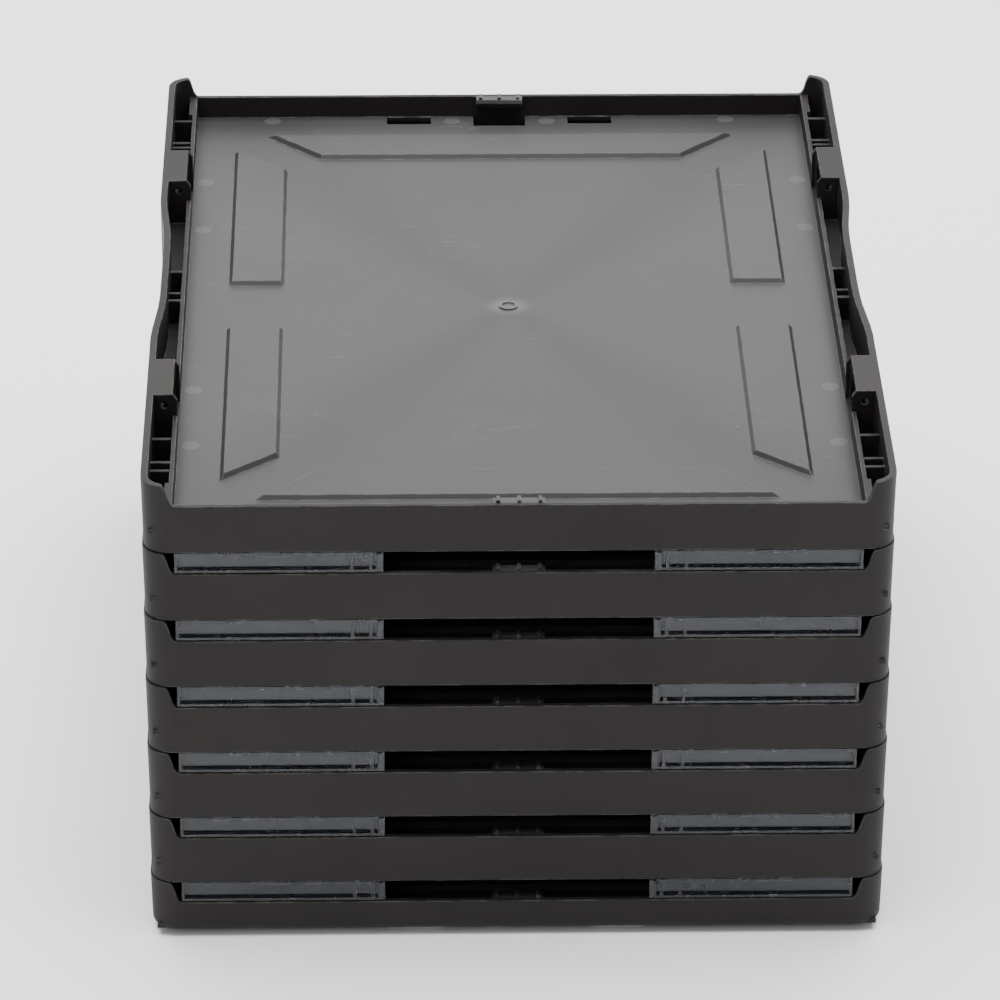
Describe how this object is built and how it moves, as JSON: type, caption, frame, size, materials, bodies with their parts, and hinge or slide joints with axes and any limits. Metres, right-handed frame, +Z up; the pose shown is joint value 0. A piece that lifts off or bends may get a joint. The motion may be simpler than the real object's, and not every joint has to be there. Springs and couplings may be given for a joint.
{
  "type": "collapsible storage crate tower",
  "caption": "Folding storage tower: shallow moulded trays linked by clear side walls that hinge in the middle and fold flat between the trays.",
  "frame": {"origin": "centre of the footprint, on the surface that the feet stand on", "axes": "+Z up, +X to the right across the width, -Y towards the front end"},
  "size_m": [0.25, 0.3448, 0.1726],
  "materials": {
    "charcoal_plastic": "fine-textured moulded plastic, satin",
    "clear_plastic": "clear smoky plastic, glossy",
    "steel_rod": "drawn steel wire",
    "rubber_foot": "matt black rubber"
  },
  "bodies": {
    "base": {"base_tray": "charcoal_plastic", "foot_front_left": "rubber_foot", "foot_front_right": "rubber_foot", "foot_rear_left": "rubber_foot", "foot_rear_right": "rubber_foot"},
    "left_lower_1": {"left_lower_wall_1": "clear_plastic", "left_wall_rod_1": "steel_rod"},
    "left_upper_1": {"left_upper_wall_1": "clear_plastic"},
    "tier_1": {"tray_1": "charcoal_plastic"},
    "right_lower_1": {"right_lower_wall_1": "clear_plastic", "right_wall_rod_1": "steel_rod"},
    "right_upper_1": {"right_upper_wall_1": "clear_plastic"},
    "left_lower_2": {"left_lower_wall_2": "clear_plastic", "left_wall_rod_2": "steel_rod"},
    "left_upper_2": {"left_upper_wall_2": "clear_plastic"},
    "tier_2": {"tray_2": "charcoal_plastic"},
    "right_lower_2": {"right_lower_wall_2": "clear_plastic", "right_wall_rod_2": "steel_rod"},
    "right_upper_2": {"right_upper_wall_2": "clear_plastic"},
    "left_lower_3": {"left_lower_wall_3": "clear_plastic", "left_wall_rod_3": "steel_rod"},
    "left_upper_3": {"left_upper_wall_3": "clear_plastic"},
    "tier_3": {"tray_3": "charcoal_plastic"},
    "right_lower_3": {"right_lower_wall_3": "clear_plastic", "right_wall_rod_3": "steel_rod"},
    "right_upper_3": {"right_upper_wall_3": "clear_plastic"},
    "left_lower_4": {"left_lower_wall_4": "clear_plastic", "left_wall_rod_4": "steel_rod"},
    "left_upper_4": {"left_upper_wall_4": "clear_plastic"},
    "tier_4": {"tray_4": "charcoal_plastic"},
    "right_lower_4": {"right_lower_wall_4": "clear_plastic", "right_wall_rod_4": "steel_rod"},
    "right_upper_4": {"right_upper_wall_4": "clear_plastic"},
    "left_lower_5": {"left_lower_wall_5": "clear_plastic", "left_wall_rod_5": "steel_rod"},
    "left_upper_5": {"left_upper_wall_5": "clear_plastic"},
    "tier_5": {"tray_5": "charcoal_plastic"},
    "right_lower_5": {"right_lower_wall_5": "clear_plastic", "right_wall_rod_5": "steel_rod"},
    "right_upper_5": {"right_upper_wall_5": "clear_plastic"},
    "left_lower_6": {"left_lower_wall_6": "clear_plastic", "left_wall_rod_6": "steel_rod"},
    "left_upper_6": {"left_upper_wall_6": "clear_plastic"},
    "tier_6": {"tray_6": "charcoal_plastic"},
    "right_lower_6": {"right_lower_wall_6": "clear_plastic", "right_wall_rod_6": "steel_rod"},
    "right_upper_6": {"right_upper_wall_6": "clear_plastic"}
  },
  "joints": [
    {"name": "fold_1", "type": "hinge", "parent": "base", "child": "left_lower_1", "pos_m": [-0.1189, 0, 0.0175], "axis": [0, -1, 0], "range_deg": [0, 90]},
    {"name": "left_middle_1", "type": "hinge", "parent": "left_lower_1", "child": "left_upper_1", "pos_m": [-0.0464, 0, 0.0218], "axis": [0, 1, 0], "range_deg": [0, 180]},
    {"name": "left_top_1", "type": "hinge", "parent": "left_upper_1", "child": "tier_1", "pos_m": [-0.1189, 0, 0.0261], "axis": [0, -1, 0], "range_deg": [0, 90]},
    {"name": "right_bottom_1", "type": "hinge", "parent": "base", "child": "right_lower_1", "pos_m": [0.1189, 0, 0.0175], "axis": [0, 1, 0], "range_deg": [0, 90]},
    {"name": "right_middle_1", "type": "hinge", "parent": "right_lower_1", "child": "right_upper_1", "pos_m": [0.0464, 0, 0.0218], "axis": [0, -1, 0], "range_deg": [0, 180]},
    {"name": "fold_2", "type": "hinge", "parent": "tier_1", "child": "left_lower_2", "pos_m": [-0.1189, 0, 0.0427], "axis": [0, -1, 0], "range_deg": [0, 90]},
    {"name": "left_middle_2", "type": "hinge", "parent": "left_lower_2", "child": "left_upper_2", "pos_m": [-0.0464, 0, 0.047], "axis": [0, 1, 0], "range_deg": [0, 180]},
    {"name": "left_top_2", "type": "hinge", "parent": "left_upper_2", "child": "tier_2", "pos_m": [-0.1189, 0, 0.0513], "axis": [0, -1, 0], "range_deg": [0, 90]},
    {"name": "right_bottom_2", "type": "hinge", "parent": "tier_1", "child": "right_lower_2", "pos_m": [0.1189, 0, 0.0427], "axis": [0, 1, 0], "range_deg": [0, 90]},
    {"name": "right_middle_2", "type": "hinge", "parent": "right_lower_2", "child": "right_upper_2", "pos_m": [0.0464, 0, 0.047], "axis": [0, -1, 0], "range_deg": [0, 180]},
    {"name": "fold_3", "type": "hinge", "parent": "tier_2", "child": "left_lower_3", "pos_m": [-0.1189, 0, 0.0679], "axis": [0, -1, 0], "range_deg": [0, 90]},
    {"name": "left_middle_3", "type": "hinge", "parent": "left_lower_3", "child": "left_upper_3", "pos_m": [-0.0464, 0, 0.0722], "axis": [0, 1, 0], "range_deg": [0, 180]},
    {"name": "left_top_3", "type": "hinge", "parent": "left_upper_3", "child": "tier_3", "pos_m": [-0.1189, 0, 0.0765], "axis": [0, -1, 0], "range_deg": [0, 90]},
    {"name": "right_bottom_3", "type": "hinge", "parent": "tier_2", "child": "right_lower_3", "pos_m": [0.1189, 0, 0.0679], "axis": [0, 1, 0], "range_deg": [0, 90]},
    {"name": "right_middle_3", "type": "hinge", "parent": "right_lower_3", "child": "right_upper_3", "pos_m": [0.0464, 0, 0.0722], "axis": [0, -1, 0], "range_deg": [0, 180]},
    {"name": "fold_4", "type": "hinge", "parent": "tier_3", "child": "left_lower_4", "pos_m": [-0.1189, 0, 0.0931], "axis": [0, -1, 0], "range_deg": [0, 90]},
    {"name": "left_middle_4", "type": "hinge", "parent": "left_lower_4", "child": "left_upper_4", "pos_m": [-0.0464, 0, 0.0974], "axis": [0, 1, 0], "range_deg": [0, 180]},
    {"name": "left_top_4", "type": "hinge", "parent": "left_upper_4", "child": "tier_4", "pos_m": [-0.1189, 0, 0.1017], "axis": [0, -1, 0], "range_deg": [0, 90]},
    {"name": "right_bottom_4", "type": "hinge", "parent": "tier_3", "child": "right_lower_4", "pos_m": [0.1189, 0, 0.0931], "axis": [0, 1, 0], "range_deg": [0, 90]},
    {"name": "right_middle_4", "type": "hinge", "parent": "right_lower_4", "child": "right_upper_4", "pos_m": [0.0464, 0, 0.0974], "axis": [0, -1, 0], "range_deg": [0, 180]},
    {"name": "fold_5", "type": "hinge", "parent": "tier_4", "child": "left_lower_5", "pos_m": [-0.1189, 0, 0.1183], "axis": [0, -1, 0], "range_deg": [0, 90]},
    {"name": "left_middle_5", "type": "hinge", "parent": "left_lower_5", "child": "left_upper_5", "pos_m": [-0.0464, 0, 0.1226], "axis": [0, 1, 0], "range_deg": [0, 180]},
    {"name": "left_top_5", "type": "hinge", "parent": "left_upper_5", "child": "tier_5", "pos_m": [-0.1189, 0, 0.1269], "axis": [0, -1, 0], "range_deg": [0, 90]},
    {"name": "right_bottom_5", "type": "hinge", "parent": "tier_4", "child": "right_lower_5", "pos_m": [0.1189, 0, 0.1183], "axis": [0, 1, 0], "range_deg": [0, 90]},
    {"name": "right_middle_5", "type": "hinge", "parent": "right_lower_5", "child": "right_upper_5", "pos_m": [0.0464, 0, 0.1226], "axis": [0, -1, 0], "range_deg": [0, 180]},
    {"name": "fold_6", "type": "hinge", "parent": "tier_5", "child": "left_lower_6", "pos_m": [-0.1189, 0, 0.1435], "axis": [0, -1, 0], "range_deg": [0, 90]},
    {"name": "left_middle_6", "type": "hinge", "parent": "left_lower_6", "child": "left_upper_6", "pos_m": [-0.0464, 0, 0.1478], "axis": [0, 1, 0], "range_deg": [0, 180]},
    {"name": "left_top_6", "type": "hinge", "parent": "left_upper_6", "child": "tier_6", "pos_m": [-0.1189, 0, 0.1521], "axis": [0, -1, 0], "range_deg": [0, 90]},
    {"name": "right_bottom_6", "type": "hinge", "parent": "tier_5", "child": "right_lower_6", "pos_m": [0.1189, 0, 0.1435], "axis": [0, 1, 0], "range_deg": [0, 90]},
    {"name": "right_middle_6", "type": "hinge", "parent": "right_lower_6", "child": "right_upper_6", "pos_m": [0.0464, 0, 0.1478], "axis": [0, -1, 0], "range_deg": [0, 180]}
  ],
  "couplings": [
    {"joint": "left_middle_1", "follows": "fold_1", "ratio": 2},
    {"joint": "left_top_1", "follows": "fold_1", "ratio": 1},
    {"joint": "right_bottom_1", "follows": "fold_1", "ratio": 1},
    {"joint": "right_middle_1", "follows": "fold_1", "ratio": 2},
    {"joint": "left_middle_2", "follows": "fold_2", "ratio": 2},
    {"joint": "left_top_2", "follows": "fold_2", "ratio": 1},
    {"joint": "right_bottom_2", "follows": "fold_2", "ratio": 1},
    {"joint": "right_middle_2", "follows": "fold_2", "ratio": 2},
    {"joint": "left_middle_3", "follows": "fold_3", "ratio": 2},
    {"joint": "left_top_3", "follows": "fold_3", "ratio": 1},
    {"joint": "right_bottom_3", "follows": "fold_3", "ratio": 1},
    {"joint": "right_middle_3", "follows": "fold_3", "ratio": 2},
    {"joint": "left_middle_4", "follows": "fold_4", "ratio": 2},
    {"joint": "left_top_4", "follows": "fold_4", "ratio": 1},
    {"joint": "right_bottom_4", "follows": "fold_4", "ratio": 1},
    {"joint": "right_middle_4", "follows": "fold_4", "ratio": 2},
    {"joint": "left_middle_5", "follows": "fold_5", "ratio": 2},
    {"joint": "left_top_5", "follows": "fold_5", "ratio": 1},
    {"joint": "right_bottom_5", "follows": "fold_5", "ratio": 1},
    {"joint": "right_middle_5", "follows": "fold_5", "ratio": 2},
    {"joint": "left_middle_6", "follows": "fold_6", "ratio": 2},
    {"joint": "left_top_6", "follows": "fold_6", "ratio": 1},
    {"joint": "right_bottom_6", "follows": "fold_6", "ratio": 1},
    {"joint": "right_middle_6", "follows": "fold_6", "ratio": 2}
  ]
}
